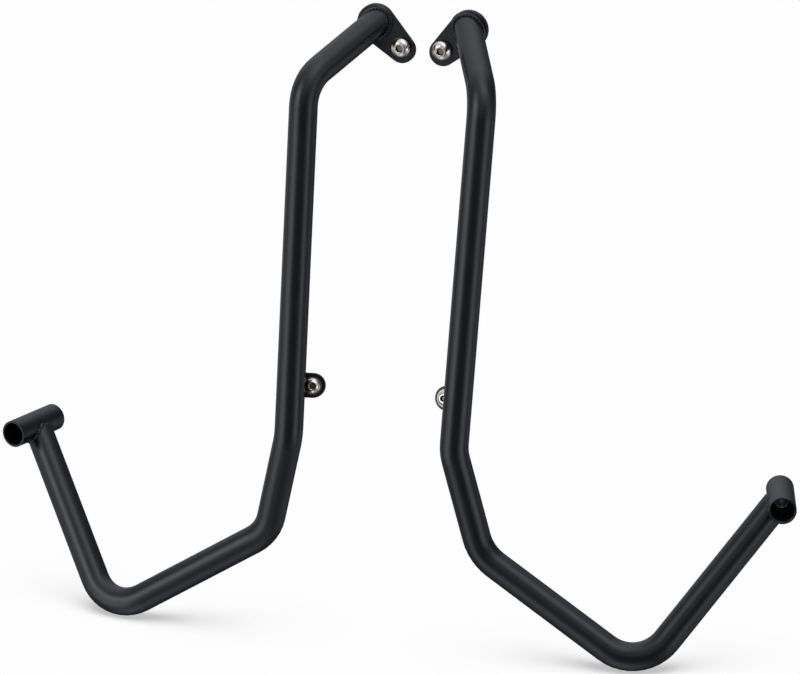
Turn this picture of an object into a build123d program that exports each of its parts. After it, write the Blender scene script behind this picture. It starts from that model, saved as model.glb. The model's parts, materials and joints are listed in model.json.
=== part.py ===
from build123d import *
import math
import os

# Pair of motorcycle crash bars: two bent steel tubes, mirror images about X = 0.
# X runs across the pair, Y away from the viewer, Z up. All sizes in millimetres.

# Bent tube
TUBE_OD = 25.4
TUBE_WALL = 2.5
TUBE_RADIUS = TUBE_OD / 2
BEND_RADIUS = 1.5 * TUBE_OD

# Bend points of the bar's centre line, from the upper lug down to the sleeve. OUT is the distance
# from the mirror plane, BACK or FRONT the distance from the shoulder, UP the height over the foot.
LUG_OUT = 43
LUG_BACK = 84
LUG_UP = 527.5
SHOULDER_OUT = 81.5
SHOULDER_UP = 491
WAIST_OUT = 76
WAIST_FRONT = 66
WAIST_UP = 186
KNEE_OUT = 99
KNEE_FRONT = 57.5
KNEE_UP = 91
FOOT_OUT = 247.5
FOOT_FRONT = 68
SLEEVE_OUT = 349.3
SLEEVE_BACK = 21.4
SLEEVE_UP = 143.2

# Upper bolt: M10 button head with a narrow plain washer. Its thread is a plain round at the
# thread's mean width.
UPPER_SHANK = 10
UPPER_THREAD = 9.03
UPPER_FREE_LENGTH = 12
UPPER_HEAD_OD = 17.5
UPPER_HEAD_HEIGHT = 5.5
UPPER_HEAD_LAND = 1.2
UPPER_HEAD_FLAT = 9.6
UPPER_DOME_OD = 14
UPPER_DOME_HEIGHT = 4
UPPER_SOCKET = 6
UPPER_SOCKET_DEPTH = 3.2
UPPER_WASHER_OD = 18
UPPER_WASHER_PLAY = 0.5
UPPER_WASHER_THICKNESS = 2

# Upper lug: a teardrop plate that faces the viewer, welded across the tube's top end
LUG_THICKNESS = 6
LUG_ROUND_MARGIN = 4.6
LUG_ROUND_RADIUS = TUBE_RADIUS + LUG_ROUND_MARGIN
LUG_TIP_MARGIN = 3.3
LUG_TIP_RADIUS = UPPER_WASHER_OD / 2 + LUG_TIP_MARGIN
LUG_TIP_ACROSS = 24
LUG_TIP_DROP = 22.6
LUG_HOLE_RAISE = 2.4
LUG_HOLE_PLAY = 1
LUG_HOLE = UPPER_SHANK + LUG_HOLE_PLAY
LUG_EDGE_ROUND = 0.8

# Middle bolt: M8 button head with a plain washer, its thread as above
MIDDLE_SHANK = 8
MIDDLE_THREAD = 7.19
MIDDLE_FREE_LENGTH = 13.4
MIDDLE_HEAD_OD = 14
MIDDLE_HEAD_HEIGHT = 4.4
MIDDLE_HEAD_LAND = 0.9
MIDDLE_HEAD_FLAT = 7.8
MIDDLE_DOME_OD = 11.2
MIDDLE_DOME_HEIGHT = 3.2
MIDDLE_SOCKET = 5
MIDDLE_SOCKET_DEPTH = 2.6
MIDDLE_WASHER_OD = 16
MIDDLE_WASHER_PLAY = 0.4
MIDDLE_WASHER_THICKNESS = 1.6

# Both bolts
THREAD_END_CHAMFER = 1
HEX_SIDES = 6
SOCKET_LEAD_IN = 0.2

# Middle tab: a round-ended plate welded against the back of the long run, turned a little away
# from the viewer. It reaches just far enough for the bolt's head to clear the tube.
TAB_MARGIN = 2.9
TAB_WIDTH = MIDDLE_WASHER_OD + 2 * TAB_MARGIN
TAB_THICKNESS = 5
TAB_ROOT = 4
TAB_SEAT = 0.2
TAB_TURN = 11
TAB_HEIGHT_SHARE = 0.858
TAB_HOLE_PLAY = 1
TAB_HOLE = MIDDLE_SHANK + TAB_HOLE_PLAY
TAB_HEAD_CLEARANCE = 0.15
TAB_FACE_DEPTH = TUBE_RADIUS - TAB_SEAT
TAB_HEAD_TOP = MIDDLE_WASHER_THICKNESS + MIDDLE_HEAD_HEIGHT
TUBE_BESIDE_HEAD = math.sqrt(TUBE_RADIUS**2 - max(TAB_FACE_DEPTH - TAB_HEAD_TOP, 0) ** 2)
TAB_REACH = TUBE_BESIDE_HEAD + TAB_HEAD_CLEARANCE + MIDDLE_HEAD_OD / 2

# Cross sleeve at the lower end, a turned bush: a wide pocket in its near end for a bolt's head,
# and a bolt hole from there to its far end
SLEEVE_STEP = 0.4
SLEEVE_OD = TUBE_OD - 2 * SLEEVE_STEP
SLEEVE_RADIUS = SLEEVE_OD / 2
SLEEVE_WALL = 2
SLEEVE_LENGTH = 62
SLEEVE_JOINT = 35.5
SLEEVE_TURN = 15.5
SLEEVE_MOUTH_CHAMFER = 0.5
POCKET_DEPTH = 25
BOLT_HOLE = 9
BOLT_HOLE_CHAMFER = 0.8

# Weld beads. The tab's bead starts where the tube leaves the tab and stops short of the washer.
LUG_BEAD_RADIUS = 2.6
SADDLE_BEAD = 2
SADDLE_TRIM = 6.9
TAB_BEAD_CLEARANCE = 1.1
TAB_BEAD_START = math.sqrt(TUBE_RADIUS**2 - TAB_FACE_DEPTH**2)
TAB_BEAD_TOE = TAB_REACH - MIDDLE_WASHER_OD / 2 - TAB_BEAD_CLEARANCE
TAB_BEAD_TOE_HEIGHT = 1.25
TAB_BEAD_SLOPE = 1
TAB_BEAD_HEIGHT = 3
TAB_BEAD_END_GAP = 1

# Extra length that a cutting tool runs past the metal it cuts
OVERRUN = 30

LUG_POINT = Vector(-LUG_OUT, LUG_BACK, LUG_UP)
SHOULDER_POINT = Vector(-SHOULDER_OUT, 0, SHOULDER_UP)
WAIST_POINT = Vector(-WAIST_OUT, -WAIST_FRONT, WAIST_UP)
KNEE_POINT = Vector(-KNEE_OUT, -KNEE_FRONT, KNEE_UP)
FOOT_POINT = Vector(-FOOT_OUT, -FOOT_FRONT, 0)
SLEEVE_POINT = Vector(-SLEEVE_OUT, SLEEVE_BACK, SLEEVE_UP)


def rod(start, end, radius):
    """Solid round bar between two points."""
    run = end - start
    return Plane(origin=start, z_dir=run) * Cylinder(
        radius, run.length, align=(Align.CENTER, Align.CENTER, Align.MIN)
    )


def beyond(start, end, extra):
    """Point that lies past the end of a run, on the same line."""
    return end + (end - start).normalized() * extra


def hex_socket(across_flats, depth):
    """Hexagonal key hole with a conical mouth, cut down from Z = 0."""
    flat_radius = across_flats / 2
    key_hole = RegularPolygon(flat_radius, HEX_SIDES, major_radius=False)
    mouth_radius = flat_radius / math.cos(math.pi / HEX_SIDES) + SOCKET_LEAD_IN
    mouth_depth = mouth_radius - flat_radius
    mouth = Cone(flat_radius, mouth_radius, mouth_depth, align=(Align.CENTER, Align.CENTER, Align.MAX))
    return extrude(key_hole, -depth) + mouth


# Centre line
top_overrun = beyond(SHOULDER_POINT, LUG_POINT, OVERRUN)
centre_line = FilletPolyline(
    top_overrun,
    SHOULDER_POINT,
    WAIST_POINT,
    KNEE_POINT,
    FOOT_POINT,
    SLEEVE_POINT,
    radius=BEND_RADIUS,
)
section_plane = Plane(origin=top_overrun, z_dir=SHOULDER_POINT - top_overrun)
bar_solid = sweep(section_plane * Circle(TUBE_RADIUS), path=centre_line)
bar_hollow = sweep(section_plane * Circle(TUBE_RADIUS - TUBE_WALL), path=centre_line)

# Upper lug, drawn in the XZ plane with its front face toward the viewer
lug_front = Plane(origin=LUG_POINT, x_dir=(1, 0, 0), z_dir=(0, -1, 0))
tip_centre = Vector(LUG_TIP_ACROSS, -LUG_TIP_DROP)
lug_round = Circle(LUG_ROUND_RADIUS)
lug_tip = Pos(tip_centre.X, tip_centre.Y) * Circle(LUG_TIP_RADIUS)
lug_outline = make_hull([*lug_round.edges(), *lug_tip.edges()])
hole_place = Pos(tip_centre.X, tip_centre.Y + LUG_HOLE_RAISE)
lug_plate = lug_front * extrude(lug_outline, -LUG_THICKNESS)
lug_rims = lug_plate.faces().filter_by(Axis.Y).edges()
upper_lug = fillet(lug_rims, LUG_EDGE_ROUND)
lug_drill = Cylinder(LUG_HOLE / 2, LUG_THICKNESS + OVERRUN)
upper_lug -= lug_front * hole_place * lug_drill

# Everything behind the lug's front face is cut off the tube's top end
trim_side = 2 * (OVERRUN + TUBE_OD)
behind_lug = lug_front * Box(
    trim_side, trim_side, trim_side, align=(Align.CENTER, Align.CENTER, Align.MAX)
)

# Cross sleeve and the cope it leaves in the tube's lower end
turn = math.radians(SLEEVE_TURN)
sleeve_axis = Vector(math.sin(turn), math.cos(turn), 0)
sleeve_near = SLEEVE_POINT - sleeve_axis * SLEEVE_JOINT
sleeve_far = sleeve_near + sleeve_axis * SLEEVE_LENGTH
pocket_floor = sleeve_near + sleeve_axis * POCKET_DEPTH
near_overrun = beyond(sleeve_far, sleeve_near, OVERRUN)
far_overrun = beyond(sleeve_near, sleeve_far, OVERRUN)
sleeve_solid = rod(sleeve_near, sleeve_far, SLEEVE_RADIUS)
sleeve = sleeve_solid - rod(near_overrun, pocket_floor, SLEEVE_RADIUS - SLEEVE_WALL)
sleeve -= rod(near_overrun, far_overrun, BOLT_HOLE / 2)
mouth_rims = sleeve.edges().filter_by(GeomType.CIRCLE).filter_by(
    lambda rim: min((rim.arc_center - end).length for end in (sleeve_near, sleeve_far)) < SLEEVE_WALL
)
sleeve = chamfer(mouth_rims, SLEEVE_MOUTH_CHAMFER)
hole_rim = sleeve.edges().filter_by(GeomType.CIRCLE).filter_by(
    lambda rim: (rim.arc_center - pocket_floor).length < BOLT_HOLE_CHAMFER and rim.radius < BOLT_HOLE
)
sleeve = chamfer(hole_rim, BOLT_HOLE_CHAMFER)

# The tube's lower end stops a little short of the sleeve's axis
trim_point = SLEEVE_POINT + (FOOT_POINT - SLEEVE_POINT).normalized() * SADDLE_TRIM
lower_trim = rod(trim_point, beyond(FOOT_POINT, SLEEVE_POINT, OVERRUN), SLEEVE_OD)
main_tube = bar_solid - bar_hollow - behind_lug - lower_trim - sleeve_solid

# Bead round the foot of the tube on the lug
trimmed_bar = bar_solid - behind_lug
lug_contact = trimmed_bar.faces().filter_by(Plane.XZ).sort_by(Axis.Y)[-1].outer_wire()
bead_plane = Plane(origin=lug_contact @ 0, z_dir=lug_contact % 0)
upper_weld = sweep(bead_plane * Circle(LUG_BEAD_RADIUS), path=lug_contact)
upper_weld = upper_weld - behind_lug - bar_solid

# Saddle bead round the tube where it meets the sleeve, carried over the tube's trimmed end
saddle_start = beyond(SLEEVE_POINT, trim_point, SLEEVE_OD)
saddle_top = beyond(FOOT_POINT, trim_point, SADDLE_BEAD)
saddle_grown = rod(saddle_start, saddle_top, TUBE_RADIUS + SADDLE_BEAD)
sleeve_grown = rod(sleeve_near, sleeve_far, SLEEVE_RADIUS + SADDLE_BEAD)
saddle_core = rod(saddle_start, trim_point, TUBE_RADIUS)
sleeve_weld = (saddle_grown & sleeve_grown) - sleeve_solid - saddle_core

# Middle tab, in a plane that runs along the tube: X inward, Y up the tube, Z to the viewer
long_run = SHOULDER_POINT - WAIST_POINT
tab_foot = SHOULDER_POINT - long_run * TAB_HEIGHT_SHARE
tab_normal = Vector(1, 0, 0).cross(long_run.normalized())
tab_plane = Plane(origin=tab_foot, x_dir=long_run.normalized().cross(tab_normal), z_dir=tab_normal)
tab_face = Rotation(0, TAB_TURN, 0) * Pos(0, 0, -TAB_FACE_DEPTH)
tab_blank = Pos((TAB_REACH - TAB_ROOT) / 2, 0) * Rectangle(TAB_REACH + TAB_ROOT, TAB_WIDTH)
tab_blank += Pos(TAB_REACH, 0) * Circle(TAB_WIDTH / 2)
tab_plate = tab_plane * tab_face * extrude(tab_blank, -TAB_THICKNESS)
tab_drill = Pos(TAB_REACH, 0) * Cylinder(TAB_HOLE / 2, TAB_THICKNESS + OVERRUN)
middle_tab = tab_plate - tab_plane * tab_face * tab_drill - bar_solid

# Fillet bead along the tab, in the corner between tab and tube
bead_profile = Polyline(
    (TAB_BEAD_START, 0),
    (TAB_BEAD_TOE, 0),
    (TAB_BEAD_TOE, TAB_BEAD_TOE_HEIGHT),
    (TAB_BEAD_TOE - TAB_BEAD_SLOPE, TAB_BEAD_HEIGHT),
    (TAB_BEAD_START, TAB_BEAD_HEIGHT),
    close=True,
)
bead_half_length = TAB_WIDTH / 2 - TAB_BEAD_END_GAP
bead_blank = extrude(make_face(bead_profile), bead_half_length, both=True, dir=(0, 0, 1))
stand_up = Rotation(90, 0, 0)
middle_weld = tab_plane * tab_face * stand_up * bead_blank - bar_solid


def button_head(outside, height, land, flat, dome_width, dome_height):
    """Domed bolt head with a flat top, its seat at Z = 0."""
    dome = ThreePointArc(
        (outside / 2, land),
        (dome_width / 2, dome_height),
        (flat / 2, height),
    )
    outline = Polyline(
        (flat / 2, height),
        (0, height),
        (0, 0),
        (outside / 2, 0),
        (outside / 2, land),
    )
    profile = make_face([*dome.edges(), *outline.edges()])
    return revolve(Plane.XZ * profile, Axis.Z)


def bolt_stem(shank, thread, grip, free_length):
    """Shank through what the bolt holds and threaded end beyond it, down from Z = 0."""
    tip = grip + free_length
    outline = Polyline(
        (0, 0),
        (0, -tip),
        (thread / 2 - THREAD_END_CHAMFER, -tip),
        (thread / 2, -tip + THREAD_END_CHAMFER),
        (thread / 2, -grip),
        (shank / 2, -grip),
        (shank / 2, 0),
        close=True,
    )
    return revolve(Plane.XZ * make_face(outline), Axis.Z)


def washer(outside, inside, thickness):
    """Plain washer with its lower face at Z = 0."""
    ring = Circle(outside / 2) - Circle(inside / 2)
    return extrude(ring, thickness)


upper_place = lug_front * hole_place
upper_washer_hole = UPPER_SHANK + UPPER_WASHER_PLAY
upper_washer = upper_place * washer(UPPER_WASHER_OD, upper_washer_hole, UPPER_WASHER_THICKNESS)
upper_head = button_head(
    UPPER_HEAD_OD,
    UPPER_HEAD_HEIGHT,
    UPPER_HEAD_LAND,
    UPPER_HEAD_FLAT,
    UPPER_DOME_OD,
    UPPER_DOME_HEIGHT,
)
upper_grip = UPPER_WASHER_THICKNESS + LUG_THICKNESS
upper_stem = bolt_stem(UPPER_SHANK, UPPER_THREAD, upper_grip, UPPER_FREE_LENGTH)
upper_key_hole = Pos(0, 0, UPPER_HEAD_HEIGHT) * hex_socket(UPPER_SOCKET, UPPER_SOCKET_DEPTH)
upper_seat = upper_place * Pos(0, 0, UPPER_WASHER_THICKNESS)
upper_bolt = upper_seat * (upper_head + upper_stem - upper_key_hole)

middle_place = tab_plane * tab_face * Pos(TAB_REACH, 0)
middle_washer_hole = MIDDLE_SHANK + MIDDLE_WASHER_PLAY
middle_washer = middle_place * washer(MIDDLE_WASHER_OD, middle_washer_hole, MIDDLE_WASHER_THICKNESS)
middle_head = button_head(
    MIDDLE_HEAD_OD,
    MIDDLE_HEAD_HEIGHT,
    MIDDLE_HEAD_LAND,
    MIDDLE_HEAD_FLAT,
    MIDDLE_DOME_OD,
    MIDDLE_DOME_HEIGHT,
)
middle_grip = MIDDLE_WASHER_THICKNESS + TAB_THICKNESS
middle_stem = bolt_stem(MIDDLE_SHANK, MIDDLE_THREAD, middle_grip, MIDDLE_FREE_LENGTH)
middle_key_hole = Pos(0, 0, MIDDLE_HEAD_HEIGHT) * hex_socket(MIDDLE_SOCKET, MIDDLE_SOCKET_DEPTH)
middle_seat = middle_place * Pos(0, 0, MIDDLE_WASHER_THICKNESS)
middle_bolt = middle_seat * (middle_head + middle_stem - middle_key_hole)

left_bar = {
    "main_tube": main_tube,
    "upper_lug": upper_lug,
    "upper_weld": upper_weld,
    "upper_washer": upper_washer,
    "upper_bolt": upper_bolt,
    "middle_tab": middle_tab,
    "middle_weld": middle_weld,
    "middle_washer": middle_washer,
    "middle_bolt": middle_bolt,
    "sleeve": sleeve,
    "sleeve_weld": sleeve_weld,
}

# The origin goes to the middle of the pair's footprint, at the height of its lowest points
boxes = [piece.bounding_box() for piece in left_bar.values()]
near_side = min(box.min.Y for box in boxes)
far_side = max(box.max.Y for box in boxes)
lowest = min(box.min.Z for box in boxes)
to_origin = Pos(0, -(near_side + far_side) / 2, -lowest)

os.makedirs("parts", exist_ok=True)
for name, piece in left_bar.items():
    left_piece = to_origin * piece
    export_step(left_piece, f"parts/left_{name}.step")
    export_step(mirror(left_piece, about=Plane.YZ), f"parts/right_{name}.step")
print("moved by", to_origin.position)
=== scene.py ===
import json
import math

import bpy
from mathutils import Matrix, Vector


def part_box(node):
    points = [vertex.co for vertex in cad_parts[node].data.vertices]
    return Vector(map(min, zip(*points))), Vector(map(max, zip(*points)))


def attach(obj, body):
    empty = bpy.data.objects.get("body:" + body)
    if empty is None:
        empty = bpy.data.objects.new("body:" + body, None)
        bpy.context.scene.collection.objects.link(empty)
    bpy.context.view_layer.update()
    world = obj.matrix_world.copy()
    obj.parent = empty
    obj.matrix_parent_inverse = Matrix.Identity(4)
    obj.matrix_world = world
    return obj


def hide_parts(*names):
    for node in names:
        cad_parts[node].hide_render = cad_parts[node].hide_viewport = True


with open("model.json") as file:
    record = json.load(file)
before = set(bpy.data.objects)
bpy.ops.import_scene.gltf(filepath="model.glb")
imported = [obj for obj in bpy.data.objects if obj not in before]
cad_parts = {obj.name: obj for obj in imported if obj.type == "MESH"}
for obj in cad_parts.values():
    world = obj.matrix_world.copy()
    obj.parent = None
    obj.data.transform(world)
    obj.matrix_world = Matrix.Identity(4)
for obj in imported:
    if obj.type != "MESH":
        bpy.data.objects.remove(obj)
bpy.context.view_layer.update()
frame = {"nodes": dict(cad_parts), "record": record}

# Camera: a long lens to the right of the pair and above it
CAMERA_AIM = Vector((-0.0165, 0.0606, 0.242))
CAMERA_AZIMUTH = 17.43
CAMERA_ELEVATION = 16.98
CAMERA_DISTANCE = 4.5014
CAMERA_FAR_LIMIT = 100.0
SENSOR_WIDTH = 36.0
FOCAL_PIXELS = 5000
PICTURE_WIDTH = 800

# White floor under one broad soft lamp. To the camera it is plain white, except that near the bars
# the lamp's shadow comes in with the share of the floor's sky that they cover.
FLOOR_SIZE = 60.0
FLOOR_DARK = (0.9, 0.9, 0.9)
FLOOR_LIGHT = (0.92, 0.92, 0.92)
FLOOR_ROUGHNESS = 0.9
FLOOR_SPECULAR = 0.0
FLOOR_PLAIN_WHITE = 0.991
FLOOR_LIT_SHARE = 0.48
SHADOW_REACH = 0.12
SHADOW_GAIN = 2.5
LAMP_POWER = 3.33
LAMP_WIDTH = 60.0
LAMP_AZIMUTH = 17.0
LAMP_ELEVATION = 84.0
FILL_STRENGTH = 0.03

# Soft boxes of the studio, which only reflections see: azimuth from straight ahead, elevation,
# spread, all in degrees, and brightness
SOFT_BOX_TINT = (0.96, 1.0, 1.1, 1.0)
SOFT_BOXES = {
    "left high": (-40.0, 28.0, 12.0, 2.7),
    "left": (-38.0, 6.0, 12.0, 1.05),
    "left low": (-38.5, -18.0, 12.0, 1.3),
    "left side": (-62.0, -10.0, 14.0, 0.85),
    "front low": (-15.0, -62.0, 20.0, 0.95),
    "right": (72.0, -8.0, 13.0, 1.45),
    "right side": (85.0, 20.0, 14.0, 0.55),
    "right low": (95.0, -35.0, 18.0, 0.3),
    "over right": (62.0, 58.0, 16.0, 1.3),
    "over back": (180.0, 55.0, 20.0, 0.7),
    "over left": (-115.0, 48.0, 20.0, 0.6),
    "over front": (-30.0, 48.0, 14.0, 0.25),
    "overhead": (30.0, 85.0, 18.0, 0.9),
    "beside the camera": (17.0, 17.0, 16.0, 0.08),
    "above the camera": (14.0, 30.0, 7.0, 0.45),
    "back left": (-150.0, 20.0, 18.0, 0.3),
    "back left low": (-110.0, -5.0, 16.0, 0.5),
    "back right low": (125.0, -20.0, 16.0, 0.37),
}

# Noise on the surfaces: scale and detail of each, and the values between which it is used
COAT_BROAD_NOISE = (60.0, 3.0)
COAT_FINE_NOISE = (1400.0, 2.0)
STEEL_NOISE = (900.0, 3.0)
FLOOR_NOISE = (3.0, 2.0)
NOISE_LOW = 0.3
NOISE_HIGH = 0.7

# Satin black powder coat, with a fine grain
COAT_DARK = (0.003, 0.0034, 0.0046)
COAT_LIGHT = (0.0045, 0.0049, 0.0062)
COAT_ROUGHNESS = (0.27, 0.31)
COAT_SPECULAR = 0.5
GRAIN_STRENGTH = 0.12
GRAIN_DEPTH = 0.0002

# Bright plated steel, with painted shade darkening its colour in key holes and corners
STEEL_PIECES = ("upper_bolt", "upper_washer", "middle_bolt", "middle_washer")
STEEL_DARK = (0.85, 0.775, 0.675)
STEEL_LIGHT = (0.89, 0.815, 0.715)
STEEL_ROUGHNESS = (0.13, 0.16)
STEEL_METALLIC = 1.0
# Reach, sharpness and least kept share of the painted shade in key holes and corners
PAINTED_SHADE_REACH = 0.0045
PAINTED_SHADE_SHARPNESS = 2.4
PAINTED_SHADE_LEAST = 0.08

# Bolt hole in each sleeve: its lip is worn bare, and it is duller inside
HOLE_LIP = 0.0016
HOLE_CHAMFER = 0.001
HOLE_BARE_METAL = (0.78, 0.74, 0.68)
HOLE_SPECULAR = 0.1
HOLE_EDGE_ROUND = 0.0012

# Sizes of the tube ends, in metres, in the frame the part is drawn in
TUBE_RADIUS = 0.0127
SLEEVE_RADIUS = 0.0123
SLEEVE_TURN = math.radians(15.5)
SADDLE_TRIM = 0.0069
LUG_ROUND_RADIUS = 0.0173
LUG_POINT = Vector((-0.043, 0.084, 0.5275))
SHOULDER_POINT = Vector((-0.0815, 0.0, 0.491))
FOOT_POINT = Vector((-0.2475, -0.068, 0.0))
SLEEVE_POINT = Vector((-0.3493, 0.0214, 0.1432))

# Weld beads
BEAD_STEPS = 224
BEAD_RING = 12
LUG_BEAD_RADIUS = 0.0026
LUG_BEAD_RIPPLES = 28
LUG_RIPPLE_DEPTH = 0.06
SADDLE_BEAD_RADIUS = 0.002
SADDLE_BEAD_RIPPLES = 20
SADDLE_RIPPLE_DEPTH = 0.28
SADDLE_SINK = 0.0018
SADDLE_SINK_BLEND = 0.003

# Screw threads on the bolts' free ends: pitch by mount, and the ridge's shape in shares of it
THREAD_PITCH = {"upper_bolt_end": 0.0015, "middle_bolt_end": 0.00125}
THREAD_STEPS = 28
RIDGE_RISE = 0.325
RIDGE_HALF_WIDTH = 0.42
RIDGE_SINK = 0.06

MM_PER_METRE = 1000.0
OPAQUE = 1.0
FULL_TURN = 2.0 * math.pi
NUMBER_RESULTS = ("DOT_PRODUCT", "LENGTH")


def direction(azimuth, elevation):
    """Unit vector from the object toward a place around it, angles in degrees."""
    turn = math.radians(azimuth)
    rise = math.radians(elevation)
    return Vector((
        math.sin(turn) * math.cos(rise),
        -math.cos(turn) * math.cos(rise),
        math.sin(rise),
    ))


def without_side(name):
    """Name of a piece or mount without its left or right."""
    return name.removeprefix("left_").removeprefix("right_")


def new_material(name):
    """Node material, its node tree and its principled shader."""
    material = bpy.data.materials.new(name)
    material.use_nodes = True
    tree = material.node_tree
    return material, tree, tree.nodes["Principled BSDF"]


def feed(tree, sockets, values):
    """Gives each socket its link or its constant."""
    for socket, value in zip(sockets, values):
        if isinstance(value, bpy.types.NodeSocket):
            tree.links.new(value, socket)
        elif value is not None:
            socket.default_value = value


def math_node(tree, operation, first, second=None, third=None):
    """Result of a math node whose inputs are links or constants."""
    node = tree.nodes.new("ShaderNodeMath")
    node.operation = operation
    feed(tree, node.inputs, (first, second, third))
    return node.outputs["Value"]


def vector_node(tree, operation, first, second=None):
    """Result of a vector math node whose inputs are links or constants."""
    node = tree.nodes.new("ShaderNodeVectorMath")
    node.operation = operation
    feed(tree, node.inputs, (first, second))
    return node.outputs["Value" if operation in NUMBER_RESULTS else "Vector"]


def scaled(tree, vector, factor):
    """Vector or colour times a number."""
    node = tree.nodes.new("ShaderNodeVectorMath")
    node.operation = "SCALE"
    feed(tree, (node.inputs["Vector"], node.inputs["Scale"]), (vector, factor))
    return node.outputs["Vector"]


def mix_vectors(tree, factor, first, second):
    """Blend of two vectors."""
    mix = tree.nodes.new("ShaderNodeMix")
    mix.data_type = "VECTOR"
    sockets = {socket.identifier: socket for socket in (*mix.inputs, *mix.outputs)}
    inputs = (sockets["Factor_Float"], sockets["A_Vector"], sockets["B_Vector"])
    feed(tree, inputs, (factor, first, second))
    return sockets["Result_Vector"]


def mix_shaders(tree, factor, first, second):
    """Blend of two shaders."""
    mix = tree.nodes.new("ShaderNodeMixShader")
    feed(tree, mix.inputs, (factor, first, second))
    return mix.outputs["Shader"]


def noise(tree, scale, detail):
    """Noise over the object's own coordinates."""
    place = tree.nodes.new("ShaderNodeTexCoord")
    texture = tree.nodes.new("ShaderNodeTexNoise")
    texture.inputs["Scale"].default_value = scale
    texture.inputs["Detail"].default_value = detail
    tree.links.new(place.outputs["Object"], texture.inputs["Vector"])
    return texture.outputs["Fac"]


def spread(tree, source, low, high):
    """Maps noise to a range of values."""
    ranged = tree.nodes.new("ShaderNodeMapRange")
    ranged.inputs["From Min"].default_value = NOISE_LOW
    ranged.inputs["From Max"].default_value = NOISE_HIGH
    ranged.inputs["To Min"].default_value = low
    ranged.inputs["To Max"].default_value = high
    tree.links.new(source, ranged.inputs["Value"])
    return ranged.outputs["Result"]


def two_tone(tree, source, dark, light):
    """Colour that runs between two tones with noise."""
    ramp = tree.nodes.new("ShaderNodeValToRGB")
    dark_end, light_end = ramp.color_ramp.elements
    dark_end.position = NOISE_LOW
    dark_end.color = (*dark, OPAQUE)
    light_end.position = NOISE_HIGH
    light_end.color = (*light, OPAQUE)
    tree.links.new(source, ramp.inputs["Fac"])
    return ramp.outputs["Color"]


def grain(tree, shader, source):
    """Fine bumps on the surface."""
    bump = tree.nodes.new("ShaderNodeBump")
    bump.inputs["Strength"].default_value = GRAIN_STRENGTH
    bump.inputs["Distance"].default_value = GRAIN_DEPTH
    tree.links.new(source, bump.inputs["Height"])
    tree.links.new(bump.outputs["Normal"], shader.inputs["Normal"])
    return bump


def open_sky(tree, reach):
    """Share of a surface's sky that nothing within reach covers."""
    shelter = tree.nodes.new("ShaderNodeAmbientOcclusion")
    shelter.inputs["Distance"].default_value = reach
    return shelter.outputs["AO"]


def hole_lip(tree, hole):
    """Masks of a bolt hole's worn lip and of the whole hole with its chamfer."""
    axis = Vector(hole["axis"]).normalized()
    half_length = hole["dims"]["length_mm"] / MM_PER_METRE / 2.0
    mouth = Vector(hole["pos_m"]) - axis * half_length
    reach = hole["dims"]["r_mm"] / MM_PER_METRE + HOLE_CHAMFER
    place = tree.nodes.new("ShaderNodeTexCoord")
    from_mouth = vector_node(tree, "SUBTRACT", place.outputs["Object"], mouth)
    depth = vector_node(tree, "DOT_PRODUCT", from_mouth, axis)
    width = vector_node(tree, "LENGTH", vector_node(tree, "CROSS_PRODUCT", from_mouth, axis))
    near_axis = math_node(tree, "LESS_THAN", width, reach)
    past_mouth = math_node(tree, "GREATER_THAN", depth, -HOLE_CHAMFER)
    in_hole = math_node(tree, "MULTIPLY", near_axis, past_mouth)
    shallow = math_node(tree, "LESS_THAN", depth, HOLE_LIP)
    return math_node(tree, "MULTIPLY", in_hole, shallow), in_hole


def wear_hole(tree, shader, bump, colour, hole):
    """Bares a bolt hole's lip, rounds its edge to the light and dulls the hole."""
    lip, in_hole = hole_lip(tree, hole)
    bared = vector_node(tree, "ADD", colour, scaled(tree, HOLE_BARE_METAL, lip))
    tree.links.new(bared, shader.inputs["Base Color"])
    tree.links.new(lip, shader.inputs["Metallic"])
    shine = math_node(tree, "MULTIPLY_ADD", in_hole, HOLE_SPECULAR - COAT_SPECULAR, COAT_SPECULAR)
    tree.links.new(shine, shader.inputs["Specular IOR Level"])
    surface = tree.nodes.new("ShaderNodeNewGeometry")
    soft_edges = tree.nodes.new("ShaderNodeBevel")
    soft_edges.inputs["Radius"].default_value = HOLE_EDGE_ROUND
    normal = mix_vectors(tree, in_hole, surface.outputs["Normal"], soft_edges.outputs["Normal"])
    tree.links.new(normal, bump.inputs["Normal"])


def black_coat(name, hole=None):
    """Satin black powder coat, a little blue, with a worn lip round a bolt hole if it has one."""
    material, tree, shader = new_material(name)
    broad = noise(tree, *COAT_BROAD_NOISE)
    fine = noise(tree, *COAT_FINE_NOISE)
    colour = two_tone(tree, broad, COAT_DARK, COAT_LIGHT)
    tree.links.new(colour, shader.inputs["Base Color"])
    tree.links.new(spread(tree, broad, *COAT_ROUGHNESS), shader.inputs["Roughness"])
    shader.inputs["Specular IOR Level"].default_value = COAT_SPECULAR
    bump = grain(tree, shader, fine)
    if hole:
        wear_hole(tree, shader, bump, colour, hole)
    return material


def painted_corner_shade(tree, colour):
    """Painted shade: darkens a colour in key holes and corners, more where less of the sky is open.
    """
    openness = math_node(tree, "POWER", open_sky(tree, PAINTED_SHADE_REACH), PAINTED_SHADE_SHARPNESS)
    painted_shade_factor = math_node(tree, "MULTIPLY_ADD", openness, 1.0 - PAINTED_SHADE_LEAST, PAINTED_SHADE_LEAST)
    return scaled(tree, colour, painted_shade_factor)


def bright_steel():
    """Bright, slightly warm plated steel."""
    material, tree, shader = new_material("bright_steel")
    fine = noise(tree, *STEEL_NOISE)
    colour = two_tone(tree, fine, STEEL_DARK, STEEL_LIGHT)
    # Painted shade darkens the steel's colour in key holes and corners
    tree.links.new(painted_corner_shade(tree, colour), shader.inputs["Base Color"])
    tree.links.new(spread(tree, fine, *STEEL_ROUGHNESS), shader.inputs["Roughness"])
    shader.inputs["Metallic"].default_value = STEEL_METALLIC
    return material


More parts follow.
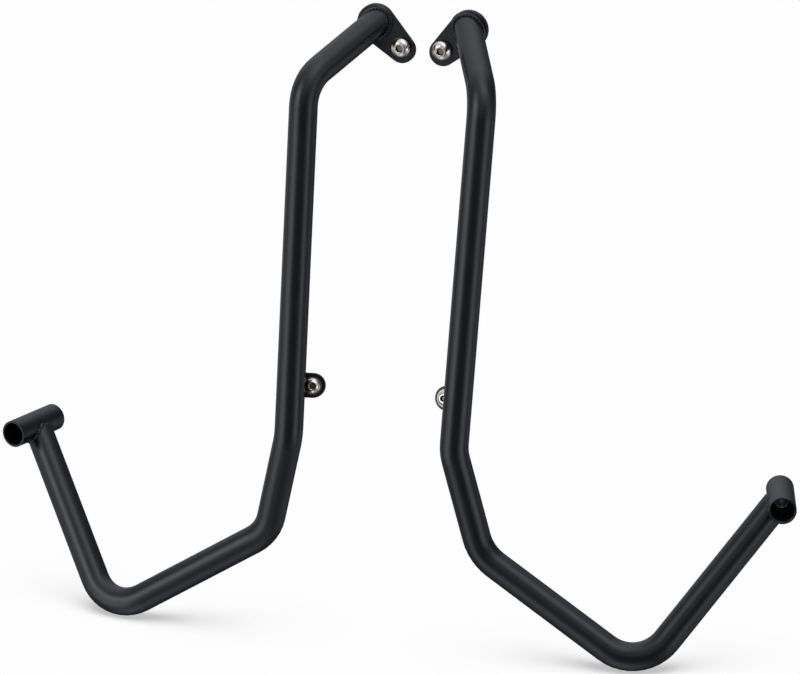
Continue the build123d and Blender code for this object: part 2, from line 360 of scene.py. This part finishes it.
def floor_white():
    """White floor that takes the shadow near the bars and is plain white to the camera farther off;
    reflections look through it to the soft boxes."""
    material, tree, shader = new_material("floor_white")
    tones = two_tone(tree, noise(tree, *FLOOR_NOISE), FLOOR_DARK, FLOOR_LIGHT)
    tree.links.new(tones, shader.inputs["Base Color"])
    shader.inputs["Roughness"].default_value = FLOOR_ROUGHNESS
    shader.inputs["Specular IOR Level"].default_value = FLOOR_SPECULAR
    glow = tree.nodes.new("ShaderNodeEmission")
    glow.inputs["Strength"].default_value = FLOOR_PLAIN_WHITE
    covered = math_node(tree, "SUBTRACT", 1.0, open_sky(tree, SHADOW_REACH))
    nearness = math_node(tree, "MINIMUM", math_node(tree, "MULTIPLY", covered, SHADOW_GAIN), 1.0)
    plain = math_node(tree, "MULTIPLY_ADD", nearness, -FLOOR_LIT_SHARE, 1.0)
    path = tree.nodes.new("ShaderNodeLightPath")
    plain_share = math_node(tree, "MULTIPLY", path.outputs["Is Camera Ray"], plain)
    white = mix_shaders(tree, plain_share, shader.outputs["BSDF"], glow.outputs["Emission"])
    clear = tree.nodes.new("ShaderNodeBsdfTransparent")
    both = mix_shaders(tree, path.outputs["Is Glossy Ray"], white, clear.outputs["BSDF"])
    tree.links.new(both, tree.nodes["Material Output"].inputs["Surface"])
    return material


def studio():
    """World with the soft boxes for reflections and a weak even fill for everything else."""
    world = bpy.data.worlds.new("studio")
    world.use_nodes = True
    world.cycles.sampling_method = "NONE"
    tree = world.node_tree
    place = tree.nodes.new("ShaderNodeTexCoord")
    total = 0.0
    for azimuth, elevation, spread_angle, brightness in SOFT_BOXES.values():
        toward = direction(azimuth, elevation)
        facing = vector_node(tree, "DOT_PRODUCT", place.outputs["Generated"], toward)
        sharpness = 1.0 / math.radians(spread_angle) ** 2
        falloff = math_node(tree, "MULTIPLY_ADD", facing, sharpness, -sharpness)
        glow = math_node(tree, "EXPONENT", falloff)
        total = math_node(tree, "MULTIPLY_ADD", glow, brightness, total)
    path = tree.nodes.new("ShaderNodeLightPath")
    mirrored_part = math_node(tree, "MULTIPLY", total, path.outputs["Is Glossy Ray"])
    strength = math_node(tree, "ADD", mirrored_part, FILL_STRENGTH)
    background = tree.nodes["Background"]
    background.inputs["Color"].default_value = SOFT_BOX_TINT
    tree.links.new(strength, background.inputs["Strength"])
    return world


def dress(node, material):
    """Puts one material on a carried-over CAD node."""
    node.data.materials.clear()
    node.data.materials.append(material)


def add_mesh(name, vertices, faces, material):
    """Smooth mesh object in the scene."""
    mesh = bpy.data.meshes.new(name)
    mesh.from_pydata(vertices, [], faces)
    mesh.materials.append(material)
    for face in mesh.polygons:
        face.use_smooth = True
    thing = bpy.data.objects.new(name, mesh)
    bpy.context.scene.collection.objects.link(thing)
    return thing


def around(axis):
    """Two directions square to an axis and to each other."""
    first = axis.orthogonal().normalized()
    return first, axis.cross(first).normalized()


def ripple_bead(name, centres, radius, ripples, ripple_depth, material):
    """Closed weld bead: a ring of small swellings along a loop of points."""
    count = len(centres)
    middle = sum(centres, Vector()) / count
    vertices = []
    for step, centre in enumerate(centres):
        along = (centres[(step + 1) % count] - centres[step - 1]).normalized()
        side = along.cross(centre - middle).normalized()
        out = side.cross(along)
        swell = abs(math.sin(math.pi * ripples * step / count))
        size = radius * (1.0 - ripple_depth + ripple_depth * swell)
        for turn in range(BEAD_RING):
            angle = FULL_TURN * turn / BEAD_RING
            vertices.append(centre + (out * math.cos(angle) + side * math.sin(angle)) * size)
    faces = []
    for step in range(count):
        after = (step + 1) % count
        for turn in range(BEAD_RING):
            beside = (turn + 1) % BEAD_RING
            faces.append((
                step * BEAD_RING + turn,
                step * BEAD_RING + beside,
                after * BEAD_RING + beside,
                after * BEAD_RING + turn,
            ))
    return add_mesh(name, vertices, faces, material)


def lug_loop(shift):
    """Points where the left tube's outside meets the lug's front face."""
    axis = (LUG_POINT - SHOULDER_POINT).normalized()
    first, second = around(axis)
    points = []
    for step in range(BEAD_STEPS):
        angle = FULL_TURN * step / BEAD_STEPS
        offset = (first * math.cos(angle) + second * math.sin(angle)) * TUBE_RADIUS
        points.append(LUG_POINT + offset - axis * (offset.y / axis.y) + shift)
    return points


def saddle_loop(shift):
    """Points where the left tube's outside meets the sleeve's outside; over the tube's trimmed
    end they sink into its wall."""
    axis = (FOOT_POINT - SLEEVE_POINT).normalized()
    sleeve_axis = Vector((math.sin(SLEEVE_TURN), math.cos(SLEEVE_TURN), 0.0))
    first, second = around(axis)
    across = axis - sleeve_axis * axis.dot(sleeve_axis)
    points = []
    for step in range(BEAD_STEPS):
        angle = FULL_TURN * step / BEAD_STEPS
        offset = (first * math.cos(angle) + second * math.sin(angle)) * TUBE_RADIUS
        flat = offset - sleeve_axis * offset.dot(sleeve_axis)
        half = across.dot(flat) / across.length_squared
        rest = (flat.length_squared - SLEEVE_RADIUS**2) / across.length_squared
        reach = -half + math.sqrt(max(half * half - rest, 0.0))
        trimmed = min(max((SADDLE_TRIM - reach) / SADDLE_SINK_BLEND, 0.0), 1.0)
        inward = 1.0 - SADDLE_SINK * trimmed / TUBE_RADIUS
        points.append(SLEEVE_POINT + offset * inward + axis * max(reach, SADDLE_TRIM) + shift)
    return points


def mirrored(points):
    """The same points on the right bar."""
    return [Vector((-point.x, point.y, point.z)) for point in points]


def thread_ridge(name, mount, pitch, material):
    """Helical ridge of a screw thread, wound round a bolt's free end."""
    axis = Vector(mount["axis"]).normalized()
    first, second = around(axis)
    mean_radius = mount["dims"]["r_mm"] / MM_PER_METRE
    half_width = RIDGE_HALF_WIDTH * pitch
    wound = mount["dims"]["length_mm"] / MM_PER_METRE - 2.0 * half_width
    foot = mean_radius - RIDGE_SINK * pitch
    crest = mean_radius + RIDGE_RISE * pitch
    section = ((foot, -half_width), (crest, 0.0), (foot, half_width))
    corners = len(section)
    steps = round(THREAD_STEPS * wound / pitch)
    vertices = []
    for step in range(steps + 1):
        angle = FULL_TURN * step / THREAD_STEPS
        out = first * math.cos(angle) + second * math.sin(angle)
        level = Vector(mount["pos_m"]) + axis * (step * pitch / THREAD_STEPS - wound / 2.0)
        for radius, along in section:
            vertices.append(level + out * radius + axis * along)
    faces = [tuple(range(corners))]
    for step in range(steps):
        for corner in range(corners):
            beside = (corner + 1) % corners
            faces.append((
                step * corners + corner,
                (step + 1) * corners + corner,
                (step + 1) * corners + beside,
                step * corners + beside,
            ))
    faces.append(tuple(steps * corners + corner for corner in reversed(range(corners))))
    return add_mesh(name, vertices, faces, material)


# Materials on the carried-over CAD nodes
coat = black_coat("black_coat")
steel = bright_steel()
for name, node in frame["nodes"].items():
    dress(node, steel if without_side(name) in STEEL_PIECES else coat)

# Each sleeve's own coat, with its worn bolt hole
for mount in frame["record"]["mounts"]:
    if mount["name"].endswith("sleeve_bolt_hole"):
        sleeve = mount["name"].removesuffix("_bolt_hole")
        dress(frame["nodes"][sleeve], black_coat(sleeve + "_coat", mount))

# Weld beads with their ripples
lug_low, lug_high = (Vector(corner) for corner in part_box("left_upper_lug"))
shift = Vector((0.0, lug_low.y - LUG_POINT.y, lug_high.z - LUG_POINT.z - LUG_ROUND_RADIUS))
beads = (
    ("upper_weld", lug_loop(shift), LUG_BEAD_RADIUS, LUG_BEAD_RIPPLES, LUG_RIPPLE_DEPTH),
    ("sleeve_weld", saddle_loop(shift), SADDLE_BEAD_RADIUS, SADDLE_BEAD_RIPPLES, SADDLE_RIPPLE_DEPTH),
)
for part, loop, radius, ripples, depth in beads:
    for side, points in (("left", loop), ("right", mirrored(loop))):
        bead = ripple_bead(f"{side}_{part}_bead", points, radius, ripples, depth, coat)
        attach(bead, "root")
        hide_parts(f"{side}_{part}")

# Threads on the bolts' free ends
for mount in frame["record"]["mounts"]:
    place = without_side(mount["name"])
    if place in THREAD_PITCH:
        ridge = thread_ridge(mount["name"] + "_thread", mount, THREAD_PITCH[place], steel)
        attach(ridge, "root")

# Floor
bpy.ops.mesh.primitive_plane_add(size=FLOOR_SIZE)
floor = bpy.context.object
floor.name = "floor"
floor.data.materials.append(floor_white())

# Light
bpy.context.scene.world = studio()
lamp_data = bpy.data.lights.new("lamp", "SUN")
lamp_data.energy = LAMP_POWER
lamp_data.angle = math.radians(LAMP_WIDTH)
lamp = bpy.data.objects.new("lamp", lamp_data)
lamp.rotation_euler = direction(LAMP_AZIMUTH, LAMP_ELEVATION).to_track_quat("Z", "Y").to_euler()
lamp.visible_glossy = False
bpy.context.scene.collection.objects.link(lamp)

# Camera
camera_data = bpy.data.cameras.new("camera")
camera_data.sensor_width = SENSOR_WIDTH
camera_data.sensor_fit = "HORIZONTAL"
camera_data.lens = FOCAL_PIXELS * SENSOR_WIDTH / PICTURE_WIDTH
camera_data.clip_end = CAMERA_FAR_LIMIT
camera = bpy.data.objects.new("camera", camera_data)
bpy.context.scene.collection.objects.link(camera)
toward_camera = direction(CAMERA_AZIMUTH, CAMERA_ELEVATION)
camera.location = CAMERA_AIM + toward_camera * CAMERA_DISTANCE
camera.rotation_euler = toward_camera.to_track_quat("Z", "Y").to_euler()
bpy.context.scene.camera = camera

bpy.context.scene.view_settings.view_transform = "Standard"
